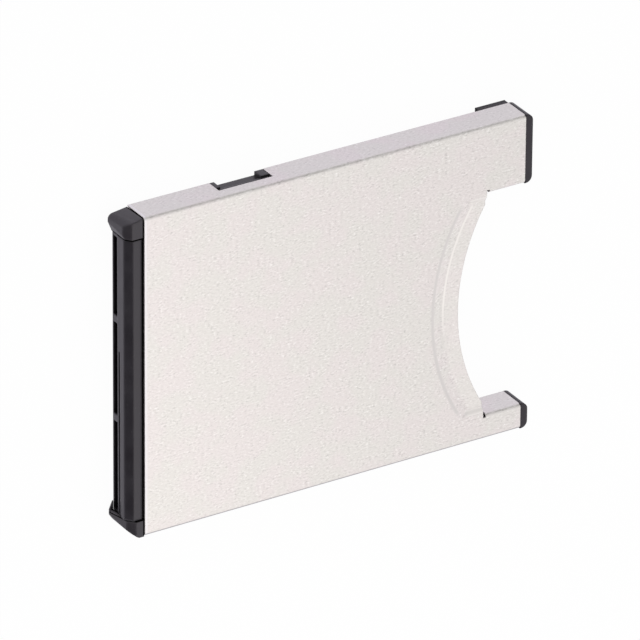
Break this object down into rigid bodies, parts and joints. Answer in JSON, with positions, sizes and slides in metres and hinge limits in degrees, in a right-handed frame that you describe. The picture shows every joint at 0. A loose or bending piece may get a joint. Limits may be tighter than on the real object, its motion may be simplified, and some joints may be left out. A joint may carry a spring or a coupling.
{
  "type": "memory card adapter",
  "caption": "Flat metal-shelled adapter card: a thin flash card slides in between its two prongs, and the plastic connector at the other end plugs into a host slot.",
  "frame": {"origin": "under the middle of the card, on the plane of the keying lip, which is its lowest face", "axes": "+X from the host connector towards the prongs, +Y towards the wide prong, +Z out of the front face"},
  "size_m": [0.0716, 0.054, 0.0062],
  "materials": {
    "shell_metal": "fine matt, finely speckled",
    "frame_plastic": "satin",
    "connector_plastic": "satin",
    "contact_gold": "gold plated",
    "board": "satin solder mask",
    "spring_steel": "bright",
    "chip_resin": "matt",
    "solder_tin": "tinned",
    "crystal_can": "satin",
    "ceramic_tan": "matt",
    "ceramic_dark": "matt",
    "film": "smooth"
  },
  "bodies": {
    "root": {"front_cover": "shell_metal", "rear_cover": "shell_metal", "frame": "frame_plastic", "host_connector_housing": "connector_plastic", "host_contacts_front_row": "contact_gold", "host_contacts_rear_row": "contact_gold", "main_board": "board", "card_contact_block": "connector_plastic", "card_contacts_front_row": "contact_gold", "card_contacts_rear_row": "contact_gold", "card_detect_spring": "contact_gold", "write_protect_spring": "contact_gold", "card_pressure_spring_left": "spring_steel", "card_pressure_spring_right": "spring_steel", "earth_spring_left": "spring_steel", "earth_spring_right": "spring_steel", "controller_chip": "chip_resin", "controller_leads": "solder_tin", "buffer_memory_chip": "chip_resin", "buffer_memory_leads": "solder_tin", "voltage_regulator": "chip_resin", "clock_crystal": "crystal_can", "ceramic_capacitors": "ceramic_tan", "chip_resistors": "ceramic_dark", "front_insulating_film": "film", "rear_insulating_film": "film"}
  },
  "joints": []
}
